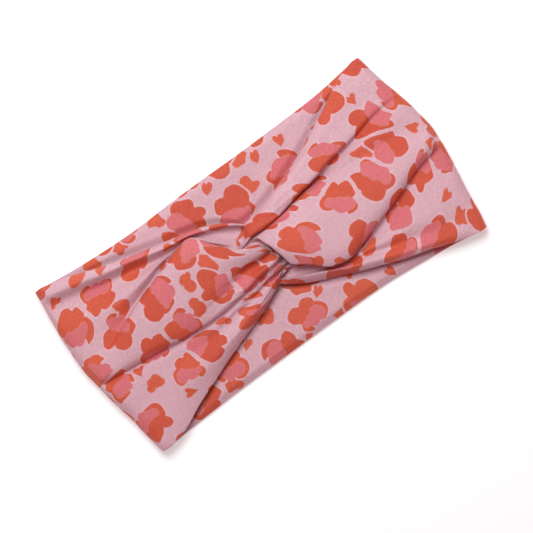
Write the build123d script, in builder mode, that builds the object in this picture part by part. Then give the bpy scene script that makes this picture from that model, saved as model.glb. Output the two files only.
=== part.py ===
from build123d import *
import os

# A twist-front headband, lying flat: a loop of soft jersey, two plies thick, pressed flat on its back
# run, with the two halves of its front run looped through each other in a knot.
# X runs along the flattened loop, Y across the band, Z up. The origin is on the table, under the knot.

half_length = 120.0  # knot to the outermost point of an end fold
end_half_width = 59.5  # half the band's width at the end folds
waist_half_width = 54.5  # half the back run's width behind the knot, where the knot draws it in
fold_half_width = 58.5
end_sagitta = 6.0  # how far an end fold bows outwards between its two corners
loop_gap = 5.0  # between the back run and the front run, where the head goes in

ply = 0.5  # one ply of jersey
turned_gap = 0.1  # between a ply and its own turned-in edge
turned_width = 7.0  # the turned-in edges, which are the seam allowances
thread = 0.3  # sewing thread
thread_inset = 1.0  # finished edge to the seam line
bend_gap = 0.3  # between two spans that bend about each other

hinge_x = 109.0  # an end fold opens about this line
bend_x = 45.0  # each run bends here as the loop opens
strand_x = 24.0  # the strands of the knot run this far each way

# The front run narrows unevenly towards the knot: half widths of its fuller and its tighter edge, and
# the height of its gathers, at three distances from the knot.
stations = (hinge_x, bend_x, strand_x)
full_half_width = (57.5, 39.0, 30.5)
tight_half_width = (57.5, 34.5, 25.0)
gather_height = (1.0, 6.5, 9.0)
knot_half_width = 17.0

strand_radius = 2.5  # half the height of one strand of the knot
strand_spread = 4.0  # strand to the knot's middle plane, before the strands are flattened
strand_rise = 7.0  # lower strand to upper strand
strand_reach = 8.5  # a strand turns back this far past the knot's centre
strand_turn = 5.2  # radius of that turn's corners
flattening = 2.75  # a strand is this much wider than it is high
knot_seam_half_length = 15.0  # the closing seam, hidden under the knot
knot_seam_half_width = 6.0

band = 4 * ply + 2 * turned_gap + thread  # thickness of the whole band at its edges
seam_height = 2 * ply + turned_gap  # from either face of the band to its seam thread
front_inside = band + loop_gap  # height of the front run's inner face
front_outside = front_inside + band
fold_z = front_outside / 2
fold_x = half_length - fold_z  # the middle of the end fold's round, where it bows out most
bow_radius = (fold_half_width**2 + end_sagitta**2) / (2 * end_sagitta)

left, right = -1, 1


def save(part, name):
    part.label = name
    export_step(part, f"parts/{name}.step")


def at_station(x, values):
    """Value at distance |x| from the knot, on straight lines through the stations."""
    distance = abs(x)
    for i in range(len(stations) - 1):
        far, near = stations[i], stations[i + 1]
        if distance >= near:
            return values[i + 1] + (values[i] - values[i + 1]) * (distance - near) / (far - near)
    return values[-1]


def back_edges(x):
    """Lower and upper edge (y) of the back run."""
    half = waist_half_width + (end_half_width - waist_half_width) * abs(x) / fold_x
    return -half, half


def front_edges(x):
    """Lower and upper edge (y) of the front run. A half turn carries its left side onto its right."""
    full, tight = at_station(x, full_half_width), at_station(x, tight_half_width)
    return (-tight, full) if x < 0 else (-full, tight)


def borders(x0, x1, edges, outer, inner):
    """The strips that lie between two insets from each long edge."""
    (low0, high0), (low1, high1) = edges(x0), edges(x1)
    lower = [(x0, low0 + outer), (x1, low1 + outer), (x1, low1 + inner), (x0, low0 + inner)]
    upper = [(x0, high0 - inner), (x1, high1 - inner), (x1, high1 - outer), (x0, high0 - outer)]
    return lower, upper


def flat_slab(x0, x1, edges, low):
    """One ply's thickness of slab over the whole width of a span."""
    outline = [(x, y) for x, ys in ((x0, edges(x0)), (x1, edges(x1)[::-1])) for y in ys[::-1]]
    return outline, low, low + ply


def turned_edges(x0, x1, edges, face, inwards):
    """A ply's turned-in edges: the turn at the edge itself, and the allowance lying along the ply."""
    start, turn_end = face, face + inwards * seam_height
    allowance_start = turn_end - inwards * ply
    slabs = []
    for outline in borders(x0, x1, edges, 0, ply):
        slabs.append((outline, min(start, turn_end), max(start, turn_end)))
    for outline in borders(x0, x1, edges, 0, turned_width):
        slabs.append((outline, min(allowance_start, turn_end), max(allowance_start, turn_end)))
    return slabs


def seam_threads(x0, x1, edges, low):
    outlines = borders(x0, x1, edges, thread_inset, thread_inset + thread)
    return [(outline, low, low + thread) for outline in outlines]


def save_slabs(name, slabs):
    """A node made of flat slabs, each an outline with its lower and its upper height."""
    with BuildPart() as node:
        for outline, low, high in slabs:
            with BuildSketch(Plane.XY.offset(low)):
                with BuildLine():
                    Polyline(*outline, close=True)
                make_face()
            extrude(amount=high - low)
    save(node.part, name)


def save_back_span(name, x0, x1):
    outer = [flat_slab(x0, x1, back_edges, 0)] + turned_edges(x0, x1, back_edges, 0, 1)
    inner = [flat_slab(x0, x1, back_edges, band - ply)] + turned_edges(x0, x1, back_edges, band, -1)
    save_slabs(f"{name}_outer_ply", outer)
    save_slabs(f"{name}_inner_ply", inner)
    save_slabs(f"{name}_edge_threads", seam_threads(x0, x1, back_edges, seam_height))


def save_gathered_ply(name, x0, x1):
    """The outer ply of a front span, one crowned body whose gathers rise towards the knot."""
    with BuildPart() as gathered:
        for x in sorted((x0, x1)):
            low, high = front_edges(x)
            with BuildSketch(Plane(origin=(x, 0, front_outside - ply), x_dir=(0, 1, 0), z_dir=(1, 0, 0))):
                with BuildLine():
                    Polyline((high, ply), (high, 0), (low, 0), (low, ply))
                    ThreePointArc((low, ply), ((low + high) / 2, at_station(x, gather_height)), (high, ply))
                make_face()
        loft(ruled=True)
        for outline, low, high in turned_edges(x0, x1, front_edges, front_outside, -1):
            with BuildSketch(Plane.XY.offset(low)):
                with BuildLine():
                    Polyline(*outline, close=True)
                make_face()
            extrude(amount=high - low)
    save(gathered.part, name)


def save_front_side(name, x0, x1):
    inner = [flat_slab(x0, x1, front_edges, front_inside)] + turned_edges(x0, x1, front_edges, front_inside, 1)
    save_gathered_ply(f"{name}_outer_ply", x0, x1)
    save_slabs(f"{name}_inner_ply", inner)
    save_slabs(f"{name}_edge_threads", seam_threads(x0, x1, front_edges, front_inside + seam_height))


def save_knot_run(spans):
    """The ply under the knot, the two gathered spans beside it, and their seams."""
    for name, x0, x1 in spans:
        save_gathered_ply(f"{name}_outer_ply", x0, x1)
    (_, left_near, left_far), (_, right_near, right_far) = spans
    stops = [left_far, left_near, right_near, right_far]
    lower = [(x, front_edges(x)[0]) for x in stops[:2]] + [(0, -knot_half_width)]
    lower += [(x, front_edges(x)[0]) for x in stops[2:]]
    upper = [(-x, -y) for x, y in lower]
    slabs = [(lower + upper, front_inside, front_inside + ply)]
    threads = []
    for _, x0, x1 in spans:
        slabs += turned_edges(x0, x1, front_edges, front_inside, 1)
        threads += seam_threads(x0, x1, front_edges, front_inside + seam_height)
    save_slabs("knot_inner_ply", slabs)
    save_slabs("knot_edge_threads", threads)


def save_strand(name, side):
    """One half of the knot: a flattened strand that comes in high, turns back and leaves low."""
    low = front_inside + seam_height + thread + strand_radius
    points = [
        (-strand_x, strand_spread, low + strand_rise),
        (strand_reach, strand_spread, low + strand_rise),
        (strand_reach, -strand_spread, low),
        (-strand_x, -strand_spread, low),
    ]
    with BuildPart() as strand:
        with BuildLine() as course:
            FilletPolyline(*points, radius=strand_turn)
        with BuildSketch(Plane(origin=course.line @ 0, z_dir=course.line % 0)):
            Circle(strand_radius)
        sweep()
        scale(by=(1, flattening, 1))
    save(strand.part if side == left else strand.part.rotate(Axis.Z, 180), name)


def save_knot_seam():
    """The closing seam of the loop: its allowances, opened flat each side, and its thread."""
    low = front_inside + ply + turned_gap
    half, near = knot_seam_half_length, thread / 2

    def upright(x0, x1):
        return [(x0, -half), (x1, -half), (x1, half), (x0, half)]

    allowances = [upright(-knot_seam_half_width, -near), upright(near, knot_seam_half_width)]
    save_slabs("knot_seam_allowances", [(outline, low, low + ply) for outline in allowances])
    save_slabs("knot_seam_thread", [(upright(-near, near), low, low + ply)])


def save_fold(name, side, inner_radius, outer_radius, y_ranges):
    """A strip of an end fold: a U round the end, bowed outwards between the corners."""
    edge_x = hinge_x + bend_gap / 2
    leg_x = edge_x - 2 * end_sagitta
    with BuildPart() as fold:
        with BuildSketch(Plane.XZ):
            with BuildLine():
                for radius in (inner_radius, outer_radius):
                    Line((leg_x, fold_z - radius), (fold_x, fold_z - radius))
                    CenterArc((fold_x, fold_z), radius, -90, 180)
                    Line((fold_x, fold_z + radius), (leg_x, fold_z + radius))
                for way in (-1, 1):
                    Line((leg_x, fold_z + way * inner_radius), (leg_x, fold_z + way * outer_radius))
            make_face()
        revolve(axis=Axis((fold_x - bow_radius, 0, 0), (0, 0, 1)), revolution_arc=20)
        mirror(about=Plane.XZ)
        with BuildSketch():
            for low, high in y_ranges:
                with BuildLine():
                    corners = [(edge_x, low), (half_length, low), (half_length, high), (edge_x, high)]
                    Polyline(*corners, close=True)
                make_face()
        extrude(amount=front_outside, mode=Mode.INTERSECT)
    save(fold.part if side == right else fold.part.rotate(Axis.Z, 180), name)


def save_end_fold(name, side):
    outer, inner = fold_z, loop_gap / 2
    seam = (outer + inner) / 2
    stitch_low = fold_half_width - thread_inset - thread
    stitch_high = stitch_low + thread
    save_fold(f"{name}_outer_ply", side, outer - ply, outer, [(-fold_half_width, fold_half_width)])
    save_fold(f"{name}_inner_ply", side, inner, inner + ply, [(-fold_half_width, fold_half_width)])
    stitches = [(-stitch_high, -stitch_low), (stitch_low, stitch_high)]
    save_fold(f"{name}_edge_threads", side, seam - thread / 2, seam + thread / 2, stitches)


os.makedirs("parts", exist_ok=True)
half_gap = bend_gap / 2
knot_spans = []
for side, word in ((left, "left"), (right, "right")):
    save_back_span(f"back_{word}_middle", side * half_gap, side * (bend_x - half_gap))
    save_back_span(f"back_{word}_side", side * (bend_x + half_gap), side * hinge_x)
    save_end_fold(f"{word}_fold", side)
    save_front_side(f"front_{word}_side", side * (bend_x + half_gap), side * hinge_x)
    save_strand(f"{word}_knot_strand", side)
    knot_spans.append((f"knot_{word}", side * (strand_x + half_gap), side * (bend_x - half_gap)))
save_knot_run(knot_spans)
save_knot_seam()
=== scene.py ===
import bpy
import math
import numpy as np
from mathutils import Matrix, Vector, noise


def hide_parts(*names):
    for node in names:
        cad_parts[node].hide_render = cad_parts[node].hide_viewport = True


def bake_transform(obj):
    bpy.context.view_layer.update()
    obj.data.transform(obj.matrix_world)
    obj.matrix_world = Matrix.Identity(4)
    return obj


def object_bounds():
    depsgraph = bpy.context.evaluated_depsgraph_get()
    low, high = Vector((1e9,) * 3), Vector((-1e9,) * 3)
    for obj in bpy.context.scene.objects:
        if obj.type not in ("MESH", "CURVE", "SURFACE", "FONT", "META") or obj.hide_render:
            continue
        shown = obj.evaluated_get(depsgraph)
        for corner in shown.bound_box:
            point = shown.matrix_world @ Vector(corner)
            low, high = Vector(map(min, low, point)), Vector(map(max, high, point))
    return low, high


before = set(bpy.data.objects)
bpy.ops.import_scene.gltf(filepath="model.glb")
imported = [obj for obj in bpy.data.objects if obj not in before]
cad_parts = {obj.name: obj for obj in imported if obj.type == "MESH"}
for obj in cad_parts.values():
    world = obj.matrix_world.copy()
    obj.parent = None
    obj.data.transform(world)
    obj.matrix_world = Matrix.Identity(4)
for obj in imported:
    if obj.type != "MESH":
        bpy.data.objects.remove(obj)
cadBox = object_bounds()
mm = 0.001


# Camera, light and table
view = {"lens": 150.0, "sensor": 36.0, "width": 0.2986, "turn": -35.5, "aimX": -0.00147, "aimY": -0.0062}
studio = {
    "keyFrom": (0.09, 0.35, 0.70), "keyPower": 5.7, "keySize": 0.42, "keyColour": (0.89, 1.0, 1.0),
    "skyColour": (1.0, 0.64, 0.67), "skyStrength": 0.38,
    "tableColour": (0.80, 0.80, 0.80), "tableRoughness": 0.9, "tableGlow": 0.35,
    "tableSize": 3.0, "tableDrop": 0.0002,
}


def setCamera():
    data = bpy.data.cameras.new("camera")
    data.lens = view["lens"]
    data.sensor_width = view["sensor"]
    camera = bpy.data.objects.new("camera", data)
    height = view["width"] * view["lens"] / view["sensor"]
    camera.location = (view["aimX"], view["aimY"], height + cadBox[1].z / 2)
    camera.rotation_euler = (0, 0, math.radians(view["turn"]))
    bpy.context.scene.collection.objects.link(camera)
    bpy.context.scene.camera = camera


def addLamp(name, place, power, size, colour):
    data = bpy.data.lights.new(name, "AREA")
    data.energy = power
    data.size = size
    data.color = colour
    lamp = bpy.data.objects.new(name, data)
    lamp.location = place
    lamp.rotation_euler = (-Vector(place)).to_track_quat("-Z", "Y").to_euler()
    bpy.context.scene.collection.objects.link(lamp)


def setStudio():
    addLamp("keyLamp", studio["keyFrom"], studio["keyPower"], studio["keySize"], studio["keyColour"])
    world = bpy.data.worlds.new("studio")
    world.use_nodes = True
    sky = world.node_tree.nodes["Background"]
    sky.inputs["Color"].default_value = (*studio["skyColour"], 1)
    sky.inputs["Strength"].default_value = studio["skyStrength"]
    bpy.context.scene.world = world
    bpy.context.scene.view_settings.view_transform = "Standard"
    s = studio["tableSize"]
    mesh = bpy.data.meshes.new("table")
    mesh.from_pydata([(-s, -s, 0), (s, -s, 0), (s, s, 0), (-s, s, 0)], [], [(0, 1, 2, 3)])
    table = bpy.data.objects.new("table", mesh)
    table.location.z = -studio["tableDrop"]
    bpy.context.scene.collection.objects.link(table)
    paint = bpy.data.materials.new("tableTop")
    paint.use_nodes = True
    shader = paint.node_tree.nodes["Principled BSDF"]
    shader.inputs["Base Color"].default_value = (*studio["tableColour"], 1)
    shader.inputs["Roughness"].default_value = studio["tableRoughness"]
    shader.inputs["Emission Color"].default_value = (1, 1, 1, 1)
    shader.inputs["Emission Strength"].default_value = studio["tableGlow"]
    mesh.materials.append(paint)


setCamera()
setStudio()
print("camera, lamps and table set")


# Fold lines of the cloth
# Each run of the loop is drawn from the back's middle, round its end fold, to its end in the knot.
# The left run is drawn as it lies. The right run is drawn half a turn round, so both narrow towards +x.
# Fold lines go from one long edge to the other, in mm; stops are the places along the front run.
stops = (-115, -98, -77, -62, -50, -38, -28, -18, -9, -2, 3, 10)

leftRun = {
    "ends": ((57.5, 111.6), (50, 112), (42, 113), (30, 114), (15, 114.7), (3, 114.6), (-6, 113.4),
             (-20, 111.2), (-30, 109.3), (-40, 107.6), (-50, 106), (-57.3, 104.2)),
    "backTop": ((0, 54.7), (-20, 54.5), (-50, 53.6), (-77, 54.3), (-96, 55.8), (-112, 57.5)),
    "backBottom": ((0, -53.4), (-20, -53.6), (-50, -54.2), (-77, -55.4), (-92, -56.2), (-105, -57.3)),
    "lines": {
        "topEdge": ((57.5, 54, 47.4, 43.6, 40.6, 37.8, 36, 32.8, 28.6, 24, 20, 17),
                    (8.8, 8.4, 7.4, 6.2, 5.6, 5.2, 5.2, 5.4, 5.8, 6.6, 7.2, 7.4)),
        "topCrest": ((51.4, 48.6, 43.6, 40.5, 37.4, 34.9, 33.4, 30.8, 27.2, 22.8, 18.8, 15.5),
                     (12.2, 13.4, 13.6, 13.6, 13.6, 13.2, 13, 13, 12.6, 11.4, 9.6, 8.4)),
        "topGroove": ((45, 41.8, 37.6, 35.2, 32.4, 31.7, 32.6, 27.6, 24, 20, 16, 13),
                      (9.8, 9.4, 9, 8.8, 8.7, 8.8, 9, 8.6, 8.6, 8.6, 8.2, 8)),
        "flapCrest": ((31, 26, 25.4, 27.6, 30, 31.2, 32.2, 21.9, 14.5, 10.5, 8, 6),
                      (11, 11.9, 12.5, 12.4, 11.4, 9.6, 9.6, 11.6, 9.2, 8.8, 8.4, 8)),
        "crease": ((9, 10, 18.4, 23.4, 27.6, 30.7, 31.6, 19.8, 11, 8, 5, 4),
                   (11.2, 11, 9.6, 9, 8.8, 8.8, 9, 8.6, 8.4, 8.4, 8, 8)),
        "underLip": ((8, 8.8, 18, 23, 27.1, 30.1, 30.2, 17.6, 9, 6.3, 4, 3),
                     (11.4, 11.4, 11, 11.2, 11.4, 11.8, 12, 12, 12, 12, 10.5, 9)),
        "lip": ((6.5, 7.3, 16.8, 21.9, 26, 29.5, 31.6, 20.3, 10.8, 7, 3.5, 2),
                (11.7, 12.2, 13.2, 14, 14.6, 15.2, 15, 15.6, 16.2, 14.6, 8.6, 8.2)),
        "brow": ((4, 5, 13.4, 18, 21.5, 25.2, 27, 16.6, 8.8, 5.6, 2.6, 1),
                 (11.9, 12.8, 14.8, 16, 17, 18, 18.2, 18.4, 17.8, 15.6, 8.6, 8.2)),
        "puffCrest": ((0, 2, 6.6, 10, 12.5, 14.5, 14.5, 10, 6, 3.6, 1.5, 0),
                      (12, 13, 15, 16.4, 17.6, 19, 20, 20, 18.8, 16.2, 8.6, 8.2)),
        "flank": ((-3, -3.6, -4.2, -4.4, -3.4, -1.5, 0, 1.5, 1.2, 0.8, 0, -1),
                  (12.2, 12.8, 14, 15, 16, 17, 17.6, 17, 16, 14.6, 8.6, 8.2)),
        "tipCrease": ((-5, -5.8, -7, -8.4, -8.4, -6.5, -4.6, -2.4, -1.2, -1, -1, -2),
                      (11.8, 12.2, 13.2, 13.8, 14.4, 14.8, 15, 13.8, 11.6, 10.2, 9.4, 8.6)),
        "ridgeB": ((-6.6, -7.9, -9.6, -11.6, -12.5, -12.4, -11.2, -9.8, -8, -6.6, -5.6, -5),
                   (10.8, 11, 11.4, 12, 12.6, 13, 13.6, 14.2, 14.6, 14.4, 12.4, 9)),
        "valley": ((-7.6, -9.4, -11.2, -13.2, -14.2, -14.3, -13.2, -12, -10.8, -9.3, -8.6, -8),
                   (9.8, 9.4, 9.2, 9.6, 10, 10.4, 10.6, 10.6, 10.2, 9.8, 9, 8.5)),
        "ridgeA": ((-12, -12.4, -13.6, -15.1, -15.8, -15.6, -14.6, -13.6, -12.4, -11.2, -10.4, -10),
                   (10.9, 11.2, 11.5, 12, 12.6, 13.2, 13.8, 14.2, 14.4, 14, 12.6, 10)),
        "grooveA": ((-30, -26, -22, -21.5, -21.5, -21, -19, -17, -15.2, -13.4, -12.2, -11.5),
                    (11.2, 11.6, 11.8, 11.9, 12, 12, 12, 11.8, 11.6, 11.4, 10.6, 9)),
        "ridgeE": ((-46, -42, -35.6, -33, -30.5, -27.3, -24.6, -21.8, -18.6, -15.8, -13.6, -12.5),
                   (10.8, 11.8, 12.2, 12.6, 13, 13.4, 13.8, 14, 14, 13.6, 12.2, 10)),
        "bottomEdge": ((-57.2, -54.5, -47.6, -41.8, -37, -32.8, -29.4, -26.2, -21.8, -18.2, -15.5, -14),
                       (8.8, 8.4, 7.4, 6.2, 5.6, 5.2, 5.2, 5.8, 7, 9, 9.4, 8.4)),
    },
    # The puff reaches into the knot as far as the other lobe's round end, and drops away under it.
    "ownX": {
        "underLip": (0, 2.4, 8), "lip": (1, 3.3, 9), "brow": (1.8, 4.1, 9.5), "puffCrest": (2.6, 4.9, 10),
        "flank": (3.4, 5.8, 10), "tipCrease": (4.2, 6.6, 10.5), "ridgeB": (5.4, 7.8, 11),
        "valley": (5.2, 8.2, 11.5), "ridgeA": (5.4, 8.4, 12), "grooveA": (3, 6.5, 11),
    },
    "crossing": (21, -18.5),  # where the front's edges cross the middle of the band
    "pleatsTo": 14,  # where the pleats beside the knot end
    "innerTop": (57.5, 54, 47.4, 43.6, 40.6, 37.8, 34.6, 29.4, 24, 19.5),
    "innerBottom": (-57.2, -54.5, -47.6, -41.8, -37, -32.8, -29.4, -25.4, -21.6, -19.5),
}

rightRun = {
    "ends": ((60, 107.8), (50, 109), (40, 110.5), (28, 112), (18, 113), (8, 114.4), (-2, 115),
             (-8, 114.5), (-20, 112.5), (-32, 110), (-42, 107.6), (-50, 105.6), (-59.6, 104)),
    "backTop": ((0, 53.4), (-20, 53.1), (-50, 53.6), (-77, 55.9), (-92, 57.4), (-108, 60)),
    "backBottom": ((0, -54.7), (-20, -54.7), (-50, -55.3), (-77, -56.2), (-92, -57.8), (-105, -59.6)),
    "lines": {
        "topEdge": ((60, 56.8, 51.2, 47, 42.6, 38.2, 34, 30, 25.5, 21, 17, 14),
                    (8.8, 8.4, 7.4, 6.2, 5.6, 5.2, 5.2, 5.4, 5.8, 6.6, 7.2, 7.4)),
        "topCrest": ((56, 53.3, 48.2, 43.4, 38.8, 34.4, 29.6, 25, 21, 17.6, 14.4, 12),
                     (10.5, 11.5, 12.2, 12.6, 12.8, 12.8, 12.8, 12.8, 12.4, 11.4, 9.6, 8.4)),
        "topGroove": ((47, 47, 42.6, 38, 33.8, 31.4, 28.4, 23.4, 19.2, 15.6, 12.4, 10),
                      (10.6, 10.9, 10.9, 10.7, 10.2, 9.6, 8, 7.4, 7.4, 7.8, 8.2, 8)),
        "flapCrest": ((34, 35, 34, 33, 31.4, 30.7, 26.4, 21.2, 17, 14.2, 11, 9),
                      (11, 11.8, 12.2, 11.9, 11, 9.8, 7.6, 7, 7, 7.4, 8, 8)),
        "crease": ((8.4, 12.4, 20.2, 24.3, 27.8, 30, 24.4, 16.4, 12.6, 9.6, 7.6, 6),
                   (10.6, 10.2, 9.6, 9.4, 9.2, 9, 7.6, 7, 7, 7.4, 8, 8)),
        "underLip": ((7.8, 11.8, 19.5, 23.6, 27, 29.4, 24.6, 16.4, 12.8, 10.6, 9.4, 8.6),
                     (11.2, 11.2, 11, 11, 11.2, 11.2, 12, 12.4, 12.6, 12, 10.4, 9.4)),
        "lip": ((7, 11.2, 18.6, 22.6, 26, 28.8, 27.2, 19.2, 15.6, 12.8, 11.5, 10),
                (11.8, 12.1, 13, 13.6, 14.2, 14.8, 15.4, 15.8, 16, 15.2, 12, 10)),
        "brow": ((4, 8, 15, 18.4, 21.6, 24.5, 22.5, 15.5, 12.4, 9.6, 9.2, 8),
                 (13.4, 14.4, 15.2, 16, 16.8, 17.6, 18.2, 18.4, 18, 16.6, 12.6, 10)),
        "puffCrest": ((-1, 2.4, 5.5, 7.2, 8, 8.5, 8.4, 8, 5.8, 4.6, 4.6, 4),
                      (13.2, 14.6, 15.4, 16.4, 17.4, 18.8, 20, 20.4, 19.6, 17.2, 13, 10.5)),
        "flank": ((-5, -6, -6, -6.5, -5, -4, -3, -1.5, -2, -1.8, -1.6, -1),
                  (11.4, 12.2, 13.4, 14.6, 16.2, 17.6, 18.8, 19.2, 18.4, 16.8, 13, 10.5)),
        "tipCrease": ((-8.5, -10.5, -13, -12.5, -9.5, -8, -7, -5.5, -6, -5.6, -5, -4),
                      (11, 11.2, 11.9, 12.9, 14.4, 15.8, 16.8, 17.4, 16.4, 15.4, 12.4, 10)),
        "ridgeB": ((-20, -19.5, -18, -15.6, -14.2, -13.8, -12.4, -10.9, -10.2, -9.6, -8, -6),
                   (11.2, 11.6, 12, 12.4, 13, 13.4, 13.8, 14, 13.8, 13.2, 11.4, 10)),
        "valley": ((-29, -27, -22.9, -20.6, -17.6, -16, -14, -11.9, -11.2, -11.4, -10.2, -9),
                   (10.7, 10.4, 9.8, 9.3, 9.2, 9.4, 9.6, 9.6, 9.4, 9.2, 9, 8.6)),
        "ridgeA": ((-31, -29.4, -24.6, -22.2, -18.8, -17, -15, -13, -12.6, -12.8, -11, -9.5),
                   (11, 11.6, 12.2, 13, 13.8, 14.2, 14.4, 14.4, 14.2, 13.6, 12, 9.5)),
        "grooveA": ((-43, -40, -35, -30.4, -26, -23.5, -21, -18.5, -17, -15.8, -11.8, -9.8),
                    (11.2, 11.6, 12.1, 12.8, 13.6, 14.4, 14.8, 14.8, 14.4, 13.6, 11.8, 9.6)),
        "ridgeE": ((-53, -49, -42, -36, -31, -27.2, -24.3, -21.3, -19.4, -17.8, -12.6, -10.2),
                   (10.8, 11.4, 11.9, 12.3, 12.7, 12.9, 12.9, 12.9, 13, 13, 11.8, 9.6)),
        "bottomEdge": ((-59.5, -56, -47.8, -40.5, -35, -30.2, -26.6, -23.3, -21.3, -20, -14, -11),
                       (8.8, 8.4, 7.4, 6.2, 5.6, 5.2, 5.2, 5.8, 7.2, 9.2, 10, 8.8)),
    },
    # The round end of the upper lobe turns back under itself, so its last stops have places of their own.
    "ownX": {
        "crease": (-18, -11, -4, 2, 6), "underLip": (-18, -14, -12, -13, -15),
        "lip": (-18, -12.8, -10, -11.5, -14), "brow": (-18, -12.8, -9.2, -10.6, -14),
        "puffCrest": (-18, -12.6, -8.3, -10.2, -14), "flank": (-18, -11.5, -6.8, -8.8, -13),
        "tipCrease": (-18, -10.2, -5.2, -7, -11), "ridgeB": (-18, -9.2, -3.6, -5, -9),
        "valley": (-18, -9, 0, 6, 9),
    },
    "crossing": (18.5, -21),
    "pleatsTo": -12,  # the lobe's round end is smooth
    "innerTop": (60, 56.8, 51.2, 47, 42.6, 38.2, 34, 28.6, 23.4, 19.5),
    "innerBottom": (-59.5, -56, -47.8, -40.5, -35, -30.2, -26.6, -23, -21, -19.5),
}

cloth = {
    "under": 0.25,  # the back run's outer face above the table
    "foldHeight": 5.1,  # middle height of the end folds
    "lining": 2.4,  # height of the back run's inner face
    "liningFront": (7.8, 7.6, 7.3, 6.9, 6.7, 6.7, 6.7, 6.7, 6.7, 6.7),  # at the stops of the front run
    "edgeDip": 1.1, "loopDip": 0.4,  # how far the lining follows the front's edges down
    "edgeHeight": 8.8,  # of the front's edges at the end folds
    "swell": 2.0, "swellReach": 5.0, "swellRim": 4.5,  # the back swells up beside the front's edges
    "swellBelow": 0.6, "swellFade": 1.0,  # only cloth this far below the middle of the end folds swells
    "swellLimit": 3.7, "limitFade": 15,  # no higher than this in the end loops
    "edgeStops": 9,  # how many stops the front's edges have before they cross the middle
    "seamHeight": 1.25,  # along the back
    "seamInset": 0.45,  # the seam lies in a groove between the turned edges
    "turn": 0.6,  # half the thickness of a turned edge
    "splitAt": -77,  # where the end loops meet the back and the front
    "backStops": (0, -25, -50, -77, -96, -115),
    "foldAngles": (-62, -22, 22, 62),  # round the end fold, 0 is straight out
    "backParts": (12, 12, 13, 9, 9),  # columns between the stops, from the back's middle to the knot
    "foldParts": (3, 3, 3, 3, 3),
    "frontParts": (9, 14, 11, 9, 9, 8, 8, 7, 7, 5, 3),
    "level": 12.2, "depth": 1.6, "lift": 1.12,  # creases are drawn deeper below this height, puffs higher
    "outerLow": 7.4, "knotLow": 5.6,  # creases go no lower than this, before the knot and in it
    "knotFrom": -5,  # where the knot starts along the run
    "lowest": 0.05,  # no point is nearer to the table than this
    "rowSpacing": {"outer": 1.3, "inner": 0.9},
    "rowLimits": (2, 24),  # fewest and most rows between two lines of the net
    "middleLine": {"outer": 9, "inner": 5},  # the print is measured from this line of the net
    "liningShares": (0, 0, 0.03, 0.12, 0.3, 0.5, 0.7, 0.88, 0.97, 1, 1),  # from one long edge to the other
}


def smoothThrough(net, parts):
    # Each column of the net becomes one smooth line through its points, with so many parts between them.
    first = 2 * net[0] - net[1]
    last = 2 * net[-1] - net[-2]
    points = np.concatenate([[first], net, [last]])
    gaps = np.sqrt(np.linalg.norm(np.diff(points, axis=0), axis=2)) + 1e-4
    rows = []
    for i, count in enumerate(parts):
        p0, p1, p2, p3 = points[i:i + 4]
        g0, g1, g2 = (g[:, None] for g in gaps[i:i + 3])
        leave = (p1 - p0) / g0 - (p2 - p0) / (g0 + g1) + (p2 - p1) / g1
        arrive = (p2 - p1) / g1 - (p3 - p1) / (g1 + g2) + (p3 - p2) / g2
        for s in np.arange(count) / count:
            rows.append((2 * s**3 - 3 * s**2 + 1) * p1 + (s**3 - 2 * s**2 + s) * g1 * leave
                        + (3 * s**2 - 2 * s**3) * p2 + (s**3 - s**2) * g1 * arrive)
    rows.append(net[-1])
    return np.array(rows)


def smooth(t):
    t = np.clip(t, 0, 1)
    return 3 * t**2 - 2 * t**3


def between(x, pairs):
    ordered = sorted(pairs)
    return float(np.interp(x, [p[0] for p in ordered], [p[1] for p in ordered]))


def placeAlong(run, stop, y):
    # Past the split, stops are drawn out to the run's own end outline.
    if stop >= cloth["splitAt"]:
        return stop
    end = -between(y, run["ends"])
    reach = (stop - cloth["splitAt"]) / (stops[0] - cloth["splitAt"])
    return cloth["splitAt"] + reach * (end - cloth["splitAt"])


def backAndFold(run, share, y, height, inset):
    # From the back's middle along the back and up round the end fold, for the fold line that leaves it at y.
    line = []
    for stop in cloth["backStops"]:
        x = placeAlong(run, stop, y)
        top = between(x, run["backTop"])
        bottom = between(x, run["backBottom"])
        line.append((x, top + share * (bottom - top) - inset, height))
    radius = cloth["foldHeight"] - height
    for angle in cloth["foldAngles"]:
        turn = math.radians(angle)
        x = placeAlong(run, stops[0], y) - radius * math.cos(turn)
        line.append((x, y - inset, cloth["foldHeight"] + radius * math.sin(turn)))
    return line


def outerNet(run):
    # Each row of the net is a fold line. A long edge has two rows: the seam and the turned edge beside it.
    top = run["lines"]["topEdge"][0][0]
    bottom = run["lines"]["bottomEdge"][0][0]
    net = []
    for name, (ys, zs) in run["lines"].items():
        share = (top - ys[0]) / (top - bottom)
        own = run["ownX"].get(name, ())
        xs = [placeAlong(run, stop, ys[0]) for stop in stops[:len(stops) - len(own)]] + list(own)
        if name not in ("topEdge", "bottomEdge"):
            heights = [(z - cloth["level"]) * cloth["depth" if z < cloth["level"] else "lift"] for z in zs]
            zs = [max(cloth["outerLow" if stop < cloth["knotFrom"] else "knotLow"], cloth["level"] + height)
                  for stop, height in zip(stops, heights)]
        rows = [(cloth["under"], 0, 0)]
        seam = (cloth["seamHeight"], 0, cloth["seamInset"])
        turned = (cloth["seamHeight"] - cloth["turn"], cloth["turn"], 0)
        if name == "topEdge":
            rows = [seam, turned]
        if name == "bottomEdge":
            rows = [turned, (seam[0], seam[1], -seam[2])]
        for height, lift, inset in rows:
            line = backAndFold(run, share, ys[0], height, inset)
            line += [(x, y - inset, z + lift) for x, y, z in zip(xs, ys, zs)]
            net.append(line)
    return np.array(net, float)


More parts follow.
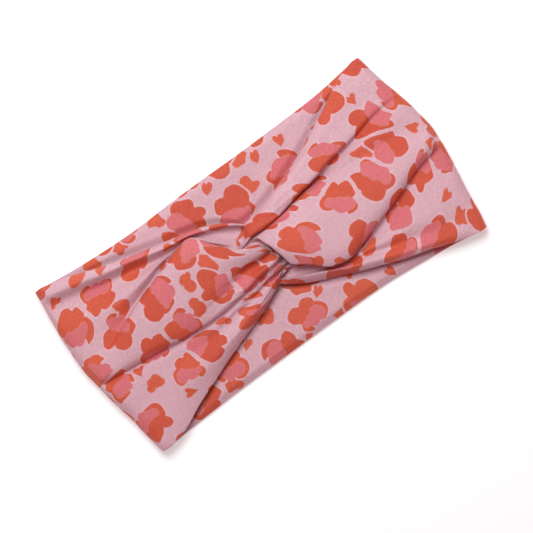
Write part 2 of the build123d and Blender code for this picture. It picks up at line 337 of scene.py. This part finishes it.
def innerNet(run):
    # The first and last rows are the seams, and the rows beside them are the turned edges.
    shares = cloth["liningShares"]
    last = len(shares) - 1
    net = []
    for i, share in enumerate(shares):
        y0 = run["innerTop"][0] + share * (run["innerBottom"][0] - run["innerTop"][0])
        edge = run["lines"]["topEdge" if i < last / 2 else "bottomEdge"][1]
        height, drop, inset = cloth["lining"], None, 0
        if i in (1, last - 1):
            height, drop = cloth["seamHeight"] + cloth["turn"], cloth["turn"]
        if i in (0, last):
            height, drop, inset = cloth["seamHeight"], 0, cloth["seamInset"] * (1 if i == 0 else -1)
        line = backAndFold(run, share, y0, height, inset)
        front = zip(stops, run["innerTop"], run["innerBottom"], edge, cloth["liningFront"])
        for stop, top, bottom, rim, middle in front:
            if i in (2, last - 2):
                dip = cloth["edgeDip" if stop > cloth["splitAt"] else "loopDip"]
                middle -= dip * (cloth["edgeHeight"] - rim)
            z = middle if drop is None else rim - drop
            line.append((placeAlong(run, stop, y0), top + share * (bottom - top) - inset, z))
        net.append(line)
    return np.array(net, float)


def denseGrid(net, spacing):
    # Rows run across the cloth, columns along it.
    alongParts = list(cloth["backParts"]) + list(cloth["foldParts"])
    alongParts += list(cloth["frontParts"])[:net.shape[1] - 1 - len(alongParts)]
    dense = smoothThrough(net.transpose(1, 0, 2), alongParts)
    frontFirst = len(cloth["backStops"]) + len(cloth["foldAngles"])
    front = net[:, frontFirst:frontFirst + len(cloth["liningFront"])]
    steps = np.linalg.norm(np.diff(front, axis=0), axis=2).max(axis=1)
    acrossParts = [int(np.clip(round(step / spacing), *cloth["rowLimits"])) for step in steps]
    grid = smoothThrough(dense.transpose(1, 0, 2), acrossParts)
    return grid, alongParts, acrossParts


def gridNormals(grid):
    across = np.gradient(grid, axis=0)
    along = np.gradient(grid, axis=1)
    normals = np.cross(across, along)
    return normals / np.maximum(np.linalg.norm(normals, axis=2, keepdims=True), 1e-9)


# Ripples of the cloth. Wide and narrow have a depth in mm and the waves for each mm in x and y.
ripple = {
    "wide": (0.75, 0.020, 0.045), "narrow": (0.32, 0.045, 0.11),
    "tilt": 0.02, "liningShift": 9,  # so that the back, the front and the lining don't ripple alike
    "pleatDepth": 0.34, "pleatWidth": 3.8, "pleatFrom": -62, "pleatFull": -12, "pleatGrowth": 1.5,
    "pleatBelow": 2, "pleatFade": 6, "sway": 2, "swayLength": 23, "swayStart": 3.7,
    "gathers": 14, "gatherDepth": 1.45, "gatherFrom": -78, "gatherFull": -50,
    "frontFade": 1.2,  # pleats and gathers reach full depth this far above the middle of the end folds
    "edgeRows": 7,  # ripples fade out over so many rows at each long edge, so the seam stays shut
}


def crumple(grid, flat, layer, turned, pleatsTo):
    # Turned is -1 on the run that is drawn half a turn round, so the ripples of the two are not alike.
    normals = gridNormals(grid)
    rows, columns = grid.shape[:2]
    depth = np.zeros((rows, columns))
    for r in range(rows):
        for c in range(columns):
            x, y, z = grid[r, c]
            lift = ripple["tilt"] * z + (ripple["liningShift"] if layer == "inner" else 0)
            for amount, alongWaves, acrossWaves in (ripple["wide"], ripple["narrow"]):
                place = (turned * x * alongWaves, turned * y * acrossWaves, lift)
                depth[r, c] += amount * noise.noise(place)
    onFront = np.clip((grid[..., 2] - cloth["foldHeight"]) / ripple["frontFade"], 0, 1)
    if layer == "outer":
        # Fine pleats run to the knot below the puffs.
        reach = (grid[..., 0] - ripple["pleatFrom"]) / (ripple["pleatFull"] - ripple["pleatFrom"])
        growth = np.clip(reach, 0, 1) ** ripple["pleatGrowth"]
        below = smooth((ripple["pleatBelow"] - grid[..., 1]) / ripple["pleatFade"])
        before = smooth((pleatsTo - grid[..., 0]) / ripple["pleatFade"])
        sway = ripple["sway"] * np.sin(flat[..., 0] / ripple["swayLength"] + ripple["swayStart"])
        wave = np.sin(flat[..., 1] * 2 * math.pi / ripple["pleatWidth"] + sway)
        depth += ripple["pleatDepth"] * growth * onFront * below * before * wave
    fromEdge = np.minimum(np.arange(rows), np.arange(rows)[::-1])
    depth *= np.clip(fromEdge / ripple["edgeRows"], 0, 1)[:, None]
    grid = grid + normals * depth[..., None]
    if layer == "inner":
        # The lining is gathered too, into pleats that run to the knot.
        share = (grid[..., 1] - grid[-1:, :, 1]) / (grid[:1, :, 1] - grid[-1:, :, 1])
        reach = (grid[..., 0] - ripple["gatherFrom"]) / (ripple["gatherFull"] - ripple["gatherFrom"])
        wave = 1 - np.cos(share * 2 * math.pi * ripple["gathers"])
        grid[..., 2] -= ripple["gatherDepth"] * np.clip(reach, 0, 1) * onFront * wave
    return grid


def swellBack(grid, run):
    # The back's inner face lies pressed down under the front's edges and swells up beside them.
    x, y, z = (grid[..., axis] for axis in range(3))
    onBack = smooth((cloth["foldHeight"] - cloth["swellBelow"] - z) / cloth["swellFade"])
    swell = 0
    count = cloth["edgeStops"]
    top, bottom = run["crossing"]
    edges = ((1, "topEdge", "backTop", top), (-1, "bottomEdge", "backBottom", bottom))
    for way, edge, border, middle in edges:
        edgeY = np.interp(x, (*stops[:count], 0), (*run["lines"][edge][0][:count], middle))
        borderX, borderY = zip(*sorted(run[border]))
        fromFront = way * (y - edgeY)
        fromBorder = way * (np.interp(x, borderX, borderY) - y)
        swell = swell + smooth(fromFront / cloth["swellReach"]) * smooth(fromBorder / cloth["swellRim"])
    limit = cloth["swellLimit"] + smooth((x - cloth["splitAt"]) / cloth["limitFade"])
    swollen = np.minimum(z + cloth["swell"] * onBack * swell, limit)
    grid[..., 2] = np.where(onBack > 0, np.maximum(z, swollen), z)
    return grid


def flatPlaces(grid, middleRow):
    # Where each point lies on the cloth before it was folded, in mm from the middle of the back.
    alongStep = np.linalg.norm(np.diff(grid, axis=1), axis=2)
    acrossStep = np.linalg.norm(np.diff(grid, axis=0), axis=2)
    along = np.concatenate([np.zeros((grid.shape[0], 1)), np.cumsum(alongStep, axis=1)], axis=1)
    across = np.concatenate([np.zeros((1, grid.shape[1])), np.cumsum(acrossStep, axis=0)], axis=0)
    across = across[middleRow:middleRow + 1] - across
    return np.stack([-along, across], axis=2)


def makeRun(side):
    # Cuts are the columns where the back, the end loop and the front meet.
    run = leftRun if side == "left" else rightRun
    made = {}
    for layer, net in (("outer", outerNet(run)), ("inner", innerNet(run))):
        grid, alongParts, acrossParts = denseGrid(net, cloth["rowSpacing"][layer])
        if layer == "inner":
            grid = swellBack(grid, run)
        flat = flatPlaces(grid, sum(acrossParts[:cloth["middleLine"][layer]]))
        grid = crumple(grid, flat, layer, 1 if side == "left" else -1, run["pleatsTo"])
        grid[..., 2] = np.maximum(grid[..., 2], cloth["lowest"])
        normals = gridNormals(grid)
        if layer == "inner":
            normals = -normals
        if side == "right":
            grid = grid * (-1, -1, 1)
            normals = normals * (-1, -1, 1)
            flat = -flat
        backSpans = cloth["backStops"].index(cloth["splitAt"])
        loopSpans = len(cloth["backParts"]) + len(cloth["foldParts"]) + stops.index(cloth["splitAt"])
        cuts = (0, sum(alongParts[:backSpans]), sum(alongParts[:loopSpans]), grid.shape[1] - 1)
        made[layer] = {"grid": grid, "normals": normals, "flat": flat, "cuts": cuts}
    return made


# Stitches of the long seams, in the groove between the turned edges
stitch = {"length": 2.6, "radius": 0.13, "proud": 0.16, "dip": 0.3, "hump": 0.6, "step": 0.37, "sides": 6}


def makeStitches(name, edges):
    # Each edge is a line of seam points and the way out of the cloth there.
    points = []
    faces = []
    sides = stitch["sides"]
    for line, out in edges:
        travelled = np.concatenate([[0], np.cumsum(np.linalg.norm(np.diff(line, axis=0), axis=1))])
        places = np.arange(0, travelled[-1], stitch["step"])
        middle = np.stack([np.interp(places, travelled, line[:, axis]) for axis in range(3)], axis=1)
        wave = np.abs(np.sin(math.pi * places / stitch["length"])) ** stitch["hump"]
        middle = middle + out * (stitch["proud"] - stitch["dip"] * (1 - wave))[:, None]
        middle[:, 2] = np.maximum(middle[:, 2], stitch["radius"] + cloth["lowest"])
        ahead = np.gradient(middle, axis=0)
        ahead /= np.linalg.norm(ahead, axis=1, keepdims=True)
        aside = np.cross(ahead, out)
        aside /= np.linalg.norm(aside, axis=1, keepdims=True)
        above = np.cross(aside, ahead)
        first = len(points)
        for centre, sideways, upwards in zip(middle, aside, above):
            for k in range(sides):
                angle = 2 * math.pi * k / sides
                spoke = math.cos(angle) * sideways + math.sin(angle) * upwards
                points.append(centre + stitch["radius"] * spoke)
        for ring in range(len(middle) - 1):
            for k in range(sides):
                a = first + ring * sides + k
                b = first + ring * sides + (k + 1) % sides
                faces.append((a, b, b + sides, a + sides))
        faces.append(tuple(first + k for k in reversed(range(sides))))
        faces.append(tuple(len(points) - sides + k for k in range(sides)))
    mesh = bpy.data.meshes.new(name)
    mesh.from_pydata((np.array(points) * mm).tolist(), [], faces)
    mesh.polygons.foreach_set("use_smooth", [True] * len(faces))
    threads = bpy.data.objects.new(name, mesh)
    bpy.context.scene.collection.objects.link(threads)
    return threads


def makeSheet(name, part, layer, start, stop):
    grid = part["grid"][:, start:stop + 1] * mm
    normals = part["normals"][:, start:stop + 1].reshape(-1, 3)
    flat = part["flat"][:, start:stop + 1].reshape(-1, 2) * mm
    rows, columns = grid.shape[:2]
    faces = []
    for r in range(rows - 1):
        for c in range(columns - 1):
            a = r * columns + c
            face = (a, a + columns, a + columns + 1, a + 1)
            faces.append(face if layer == "outer" else face[::-1])
    mesh = bpy.data.meshes.new(name)
    mesh.from_pydata(grid.reshape(-1, 3).tolist(), [], faces)
    places = mesh.uv_layers.new(name="clothFlat")
    corners = np.zeros(len(mesh.loops), np.int32)
    mesh.loops.foreach_get("vertex_index", corners)
    places.data.foreach_set("uv", flat[corners].astype(np.float32).ravel())
    mesh.polygons.foreach_set("use_smooth", [True] * len(faces))
    mesh.normals_split_custom_set_from_vertices(normals.tolist())
    sheet = bpy.data.objects.new(name, mesh)
    bpy.context.scene.collection.objects.link(sheet)
    return sheet


# Knit and print. Cells are counted for each metre of cloth; reaches are in widths of a blot's edge.
jersey = {
    "ground": (0.690, 0.402, 0.458, 1), "patch": (0.680, 0.150, 0.168, 1),
    "blot": (0.665, 0.094, 0.038, 1), "blotDeep": (0.600, 0.068, 0.029, 1),
    "rim": (0.80, 0.46, 0.48, 1), "rimShare": 0.25, "rimReach": (3.0, 1.0),
    "halo": (0.80, 0.52, 0.56, 1), "haloShare": 0.35, "haloReach": (5, 1.5),
    "cells": 36.5, "markCells": 60.0, "markRoom": 0.12, "markClear": 0.04, "markSeed": 17.3, "markReach": 2,
    "roughness": (0.58, 0.44), "bump": 0.00016, "mottle": (0.905, 1.085), "liningFade": 0.97,
    "shine": 0.5, "sheen": 0.12, "sheenRoughness": 0.45, "sheenTint": (1.0, 0.93, 0.92, 1),
}


def addNode(tree, kind, links=(), **settings):
    made = tree.nodes.new(kind)
    for key, value in settings.items():
        setattr(made, key, value)
    for socket, value in links:
        if isinstance(value, bpy.types.NodeSocket):
            tree.links.new(value, made.inputs[socket])
        else:
            made.inputs[socket].default_value = value
    return made


def maths(tree, operation, *values):
    return addNode(tree, "ShaderNodeMath", list(enumerate(values)), operation=operation).outputs[0]


def vectorMaths(tree, operation, *values):
    made = addNode(tree, "ShaderNodeVectorMath", list(enumerate(values)), operation=operation)
    return made.outputs["Value" if operation in ("LENGTH", "DISTANCE", "DOT_PRODUCT") else "Vector"]


def scaleBy(tree, vector, factor):
    links = [(0, vector), ("Scale", factor)]
    return addNode(tree, "ShaderNodeVectorMath", links, operation="SCALE").outputs["Vector"]


def fractal(tree, place, scale, detail):
    links = [("Vector", place), ("Scale", scale), ("Detail", detail)]
    return addNode(tree, "ShaderNodeTexNoise", links).outputs


def ramp(tree, value, low, high, lowOut=0.0, highOut=1.0):
    links = [("Value", value), ("From Min", low), ("From Max", high), ("To Min", lowOut), ("To Max", highOut)]
    return addNode(tree, "ShaderNodeMapRange", links, interpolation_type="SMOOTHSTEP").outputs["Result"]


def mixColour(tree, amount, first, second):
    return addNode(tree, "ShaderNodeMix", [(0, amount), (6, first), (7, second)], data_type="RGBA").outputs[2]


def placeGroup(tree, group, links):
    return addNode(tree, "ShaderNodeGroup", links, node_tree=group).outputs


def startGroup(name, inputs, outputs):
    group = bpy.data.node_groups.new(name, "ShaderNodeTree")
    for label, kind, value in inputs:
        socket = group.interface.new_socket(label, in_out="INPUT", socket_type=kind)
        if value is not None:
            socket.default_value = value
    for label, kind in outputs:
        group.interface.new_socket(label, in_out="OUTPUT", socket_type=kind)
    given = group.nodes.new("NodeGroupInput")
    result = group.nodes.new("NodeGroupOutput")
    return group, given.outputs, result.inputs


# Lobed blots on a loose grid of cells. Every lobe is a round spot beside the cell's middle: its place,
# its radius, and how much chance makes it grow or shrink. All lengths are in cells.
blot = {
    "lobes": ((0.0, 0.0, 0.25, 0), (0.22, 0.10, 0.18, 0.12), (-0.04, 0.23, 0.185, -0.12),
              (-0.24, -0.02, 0.19, 0.10), (0.03, -0.24, 0.18, -0.10)),
    "patchSpots": ((0.13, -0.11, 0.16, 0.05), (-0.02, -0.22, 0.11, 0.12), (0.21, 0.07, 0.10, -0.12)),
    "melt": 0.05, "wander": 0.62, "wobble": 0.085, "wobbleScale": 2.3, "wobbleDetail": 1.5,
    "stretchX": (0.84, 1.10), "stretchY": (1.12, 0.88), "notch": (0.24, -0.22, 0), "notchRadius": 0.12,
    "notchMelt": 0.06, "gap": 0.04, "gapMelt": 0.05, "edge": 0.010,
}


def looseCells(group, given):
    # The nearest cell: the way from its middle, its chances, the room to its border, and its middle's place.
    shift = addNode(group, "ShaderNodeCombineXYZ", [("X", given["Seed"]), ("Y", given["Seed"])]).outputs[0]
    place = vectorMaths(group, "ADD", scaleBy(group, given["Place"], given["Cells"]), shift)
    warp = fractal(group, place, blot["wobbleScale"], blot["wobbleDetail"])
    offset = vectorMaths(group, "SUBTRACT", warp["Color"], (0.5, 0.5, 0.5))
    push = vectorMaths(group, "MULTIPLY", offset, (2 * blot["wobble"], 2 * blot["wobble"], 0))
    place = vectorMaths(group, "ADD", place, push)
    cells = [("Vector", place), ("Scale", 1.0), ("Randomness", blot["wander"])]
    kind = "ShaderNodeTexVoronoi"
    nearest = addNode(group, kind, cells, voronoi_dimensions="2D").outputs
    border = addNode(group, kind, cells, voronoi_dimensions="2D", feature="DISTANCE_TO_EDGE").outputs
    chance = addNode(group, "ShaderNodeSeparateColor", [("Color", nearest["Color"])]).outputs
    local = vectorMaths(group, "SUBTRACT", place, nearest["Position"])
    turn = [("Vector", local), ("Angle", maths(group, "MULTIPLY", chance[0], 2 * math.pi))]
    turned = addNode(group, "ShaderNodeVectorRotate", turn, rotation_type="Z_AXIS").outputs["Vector"]
    size = maths(group, "DIVIDE", 1.0, given["Cells"])
    middle = scaleBy(group, vectorMaths(group, "SUBTRACT", nearest["Position"], shift), size)
    return turned, chance, border["Distance"], middle


def printInputs(cells):
    place = ("Place", "NodeSocketVector", None)
    return [place, ("Cells", "NodeSocketFloat", cells), ("Seed", "NodeSocketFloat", 0.0)]


def spots(group, local, places, chance):
    # Round spots melted together.
    field = None
    for x, y, radius, swing in places:
        size = maths(group, "MULTIPLY_ADD", chance, swing, radius - swing / 2)
        distance = maths(group, "SUBTRACT", vectorMaths(group, "DISTANCE", local, (x, y, 0)), size)
        field = distance if field is None else maths(group, "SMOOTH_MIN", field, distance, blot["melt"])
    return field


def blotGroup():
    outputs = [("Blot", "NodeSocketFloat"), ("Patch", "NodeSocketFloat"), ("Chance", "NodeSocketFloat")]
    group, given, result = startGroup("printBlots", printInputs(jersey["cells"]), outputs)
    local, chance, border = looseCells(group, given)[:3]
    stretchX = ramp(group, chance[1], 0, 1, *blot["stretchX"])
    stretchY = ramp(group, chance[2], 0, 1, *blot["stretchY"])
    stretch = addNode(group, "ShaderNodeCombineXYZ", [("X", stretchX), ("Y", stretchY), ("Z", 0.0)])
    local = vectorMaths(group, "MULTIPLY", local, stretch.outputs[0])
    notch = vectorMaths(group, "DISTANCE", local, blot["notch"])
    notch = maths(group, "SUBTRACT", blot["notchRadius"], notch)
    lobes = spots(group, local, blot["lobes"], chance[1])
    field = maths(group, "SMOOTH_MAX", lobes, notch, blot["notchMelt"])
    room = maths(group, "SUBTRACT", blot["gap"], border)
    group.links.new(maths(group, "SMOOTH_MAX", field, room, blot["gapMelt"]), result["Blot"])
    patch = spots(group, local, blot["patchSpots"], chance[2])
    group.links.new(maths(group, "SMOOTH_MAX", patch, room, blot["gapMelt"]), result["Patch"])
    group.links.new(chance[2], result["Chance"])
    return group


# Small marks between the blots: hearts, and round spots with a lobe.
mark = {
    "spots": ((0.0, 0.03, 0.25, 0.1), (0.17, -0.15, 0.17, -0.1), (-0.19, -0.06, 0.14, 0.08)),
    "heart": 0.19, "heartRise": 0.95, "heartChance": 0.4, "gap": 0.07,
}


def markGroup():
    outputs = [("Mark", "NodeSocketFloat"), ("Middle", "NodeSocketVector")]
    group, given, result = startGroup("printMarks", printInputs(jersey["markCells"]), outputs)
    local, chance, border, middle = looseCells(group, given)
    parts = addNode(group, "ShaderNodeSeparateXYZ", [("Vector", local)]).outputs
    x = maths(group, "ABSOLUTE", parts[0])
    lift = maths(group, "SQRT", maths(group, "MULTIPLY", x, mark["heart"]))
    y = maths(group, "SUBTRACT", parts[1], maths(group, "MULTIPLY", lift, mark["heartRise"]))
    heartPlace = addNode(group, "ShaderNodeCombineXYZ", [("X", x), ("Y", y), ("Z", 0.0)]).outputs[0]
    heart = maths(group, "SUBTRACT", vectorMaths(group, "LENGTH", heartPlace), mark["heart"])
    spot = spots(group, local, mark["spots"], chance[2])
    isSpot = maths(group, "GREATER_THAN", chance[1], mark["heartChance"])
    choice = [(0, isSpot), (2, heart), (3, spot)]
    chosen = addNode(group, "ShaderNodeMix", choice, data_type="FLOAT").outputs[0]
    room = maths(group, "SUBTRACT", mark["gap"], border)
    group.links.new(maths(group, "MAXIMUM", chosen, room), result["Mark"])
    group.links.new(middle, result["Middle"])
    return group


# Fine knit: ribs across the band, rows along it, and a heathered mottle.
knit = {
    "rib": 0.00080, "row": 0.00055, "slant": 0.9, "rowShare": 0.35, "ribs": 0.6,
    "mottle": 1150.0, "mottleDetail": 3.0, "slub": 320.0, "slubDetail": 2.0, "slubShare": 0.15,
    "grain": (1.0, 0.45, 1.0), "mottleHeight": 1.6, "mottleRange": (0.3, 0.7),
}


def knitGroup():
    inputs = [("Place", "NodeSocketVector", None), ("Ribs", "NodeSocketFloat", knit["ribs"])]
    outputs = [("Height", "NodeSocketFloat"), ("Mottle", "NodeSocketFloat")]
    group, given, result = startGroup("knitSurface", inputs, outputs)
    parts = addNode(group, "ShaderNodeSeparateXYZ", [("Vector", given["Place"])]).outputs
    ribs = maths(group, "SINE", maths(group, "MULTIPLY", parts[0], math.pi / knit["rib"]))
    ribs = maths(group, "ABSOLUTE", ribs)
    slant = maths(group, "MULTIPLY", ribs, knit["slant"])
    rows = maths(group, "SINE", maths(group, "MULTIPLY_ADD", parts[1], 2 * math.pi / knit["row"], slant))
    loops = maths(group, "MULTIPLY_ADD", rows, knit["rowShare"], ribs)
    grain = vectorMaths(group, "MULTIPLY", given["Place"], knit["grain"])
    fine = fractal(group, grain, knit["mottle"], knit["mottleDetail"])["Fac"]
    slub = fractal(group, grain, knit["slub"], knit["slubDetail"])["Fac"]
    fine = maths(group, "MULTIPLY", fine, 1 - knit["slubShare"])
    mottle = maths(group, "MULTIPLY_ADD", slub, knit["slubShare"], fine)
    uneven = maths(group, "MULTIPLY", mottle, knit["mottleHeight"])
    height = maths(group, "MULTIPLY_ADD", loops, given["Ribs"], uneven)
    group.links.new(height, result["Height"])
    group.links.new(mottle, result["Mottle"])
    return group


def printedJersey(name, fade):
    material = bpy.data.materials.new(name)
    material.use_nodes = True
    tree = material.node_tree
    shader = tree.nodes["Principled BSDF"]
    place = addNode(tree, "ShaderNodeUVMap", uv_map="clothFlat").outputs["UV"]
    surface = placeGroup(tree, knitted, [("Place", place)])
    large = placeGroup(tree, blots, [("Place", place), ("Cells", jersey["cells"])])
    seeded = [("Place", place), ("Cells", jersey["markCells"]), ("Seed", jersey["markSeed"])]
    small = placeGroup(tree, marks, seeded)
    around = placeGroup(tree, blots, [("Place", small["Middle"]), ("Cells", jersey["cells"])])
    edge = blot["edge"]
    largeMask = ramp(tree, large["Blot"], edge, -edge)
    patchMask = ramp(tree, large["Patch"], edge, -edge)
    rimFar, rimNear = jersey["rimReach"]
    rimMask = ramp(tree, large["Patch"], rimFar * edge, rimNear * edge)
    rimMask = maths(tree, "MULTIPLY", rimMask, jersey["rimShare"])
    haloFar, haloNear = jersey["haloReach"]
    haloMask = ramp(tree, large["Blot"], haloFar * edge, haloNear * edge)
    haloMask = maths(tree, "MULTIPLY", haloMask, jersey["haloShare"])
    # A small mark shows only where its middle has room, and stays clear of the blots.
    hasRoom = maths(tree, "GREATER_THAN", around["Blot"], jersey["markRoom"])
    clear = maths(tree, "MULTIPLY_ADD", large["Blot"], -2.0, 2 * jersey["markClear"])
    small = maths(tree, "MAXIMUM", small["Mark"], clear)
    soft = jersey["markReach"] * edge
    smallMask = maths(tree, "MULTIPLY", ramp(tree, small, soft, -soft), hasRoom)
    tone = mixColour(tree, large["Chance"], jersey["blot"], jersey["blotDeep"])
    colour = mixColour(tree, haloMask, jersey["ground"], jersey["halo"])
    colour = mixColour(tree, smallMask, colour, jersey["blot"])
    colour = mixColour(tree, largeMask, colour, tone)
    colour = mixColour(tree, rimMask, colour, jersey["rim"])
    colour = mixColour(tree, patchMask, colour, jersey["patch"])
    low, high = jersey["mottle"]
    mottled = ramp(tree, surface["Mottle"], *knit["mottleRange"], low * fade, high * fade)
    tree.links.new(scaleBy(tree, colour, mottled), shader.inputs["Base Color"])
    rough = ramp(tree, surface["Mottle"], *knit["mottleRange"], *jersey["roughness"])
    tree.links.new(rough, shader.inputs["Roughness"])
    bump = addNode(tree, "ShaderNodeBump", [("Height", surface["Height"]), ("Distance", jersey["bump"])])
    tree.links.new(bump.outputs["Normal"], shader.inputs["Normal"])
    shader.inputs["Sheen Weight"].default_value = jersey["sheen"]
    shader.inputs["Sheen Roughness"].default_value = jersey["sheenRoughness"]
    shader.inputs["Sheen Tint"].default_value = jersey["sheenTint"]
    shader.inputs["Specular IOR Level"].default_value = jersey["shine"]
    return material


yarn = {
    "dark": (0.62, 0.36, 0.41, 1), "light": (0.80, 0.52, 0.58, 1), "roughness": (0.5, 0.7),
    "twist": 900.0, "distortion": 2.0, "bump": 0.00004,
}


def threadMaterial():
    material = bpy.data.materials.new("sewingThread")
    material.use_nodes = True
    tree = material.node_tree
    shader = tree.nodes["Principled BSDF"]
    place = addNode(tree, "ShaderNodeTexCoord").outputs["Object"]
    links = [("Vector", place), ("Scale", yarn["twist"]), ("Distortion", yarn["distortion"])]
    twist = addNode(tree, "ShaderNodeTexWave", links).outputs["Fac"]
    tree.links.new(mixColour(tree, twist, yarn["dark"], yarn["light"]), shader.inputs["Base Color"])
    bump = addNode(tree, "ShaderNodeBump", [("Height", twist), ("Distance", yarn["bump"])])
    tree.links.new(bump.outputs["Normal"], shader.inputs["Normal"])
    tree.links.new(ramp(tree, twist, 0, 1, *yarn["roughness"]), shader.inputs["Roughness"])
    return material


blots = blotGroup()
marks = markGroup()
knitted = knitGroup()
outside = printedJersey("printedJersey", 1.0)
lining = printedJersey("printedJerseyLining", jersey["liningFade"])
thread = threadMaterial()
print("materials made")


# Pieces of the loop. In the nodes' names, {0} is the side and {1} is the layer or the threads.
pieces = {
    "back": {
        "nodes": ("back_{0}_middle_{1}", "back_{0}_side_{1}"),
        "length": {"outer": 0.077, "inner": 0.077}, "held": "laid",
    },
    "loop": {
        "nodes": ("back_{0}_side_{1}", "{0}_fold_{1}", "front_{0}_side_{1}"),
        "length": {"outer": 0.092, "inner": 0.092}, "held": "folded",
    },
    "front": {
        "nodes": ("front_{0}_side_{1}",),
        "length": {"outer": 0.082, "inner": 0.077}, "held": "gathered",
        "knot": {
            "outer_ply": ("knot_{0}_outer_ply", "{0}_knot_strand"),
            "inner_ply": ("knot_inner_ply",),
            "edge_threads": ("knot_edge_threads",),
        },
    },
}


def nodeNames(side, kind, layer):
    names = (*pieces[kind]["nodes"], *pieces[kind].get("knot", {}).get(layer, ()))
    return [name.format(side, layer) for name in names]


def joinPiece(piece, kind):
    # Each piece, the loops, the back and the front alike, has its transform baked into its mesh.
    if kind == "loop":
        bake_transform(piece)
        return
    if kind == "back":
        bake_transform(piece)
    else:
        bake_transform(piece)


for side in ("left", "right"):
    made = makeRun(side)
    for layer in ("outer", "inner"):
        part = made[layer]
        for index, (kind, facts) in enumerate(pieces.items()):
            start, stop = part["cuts"][index:index + 2]
            piece = makeSheet(f"{side}_{kind}_{layer}", part, layer, start, stop)
            piece.data.materials.append(outside if layer == "outer" else lining)
            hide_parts(*nodeNames(side, kind, layer + "_ply"))
            joinPiece(piece, kind)
    seams = made["outer"]["grid"][[0, -1]]
    outward = np.array([0, 1 if side == "left" else -1, 0])
    for index, kind in enumerate(pieces):
        start, stop = made["outer"]["cuts"][index:index + 2]
        edges = [(seams[0, start:stop + 1], outward), (seams[1, start:stop + 1], -outward)]
        piece = makeStitches(f"{side}_{kind}_threads", edges)
        piece.data.materials.append(thread)
        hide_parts(*nodeNames(side, kind, "edge_threads"))
        joinPiece(piece, kind)
print("sheets and seams made")

# The nodes that no piece replaces
for name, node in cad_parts.items():
    material = thread if "thread" in name else outside
    if not node.material_slots:
        node.data.materials.append(material)
    for place in node.material_slots:
        place.material = material
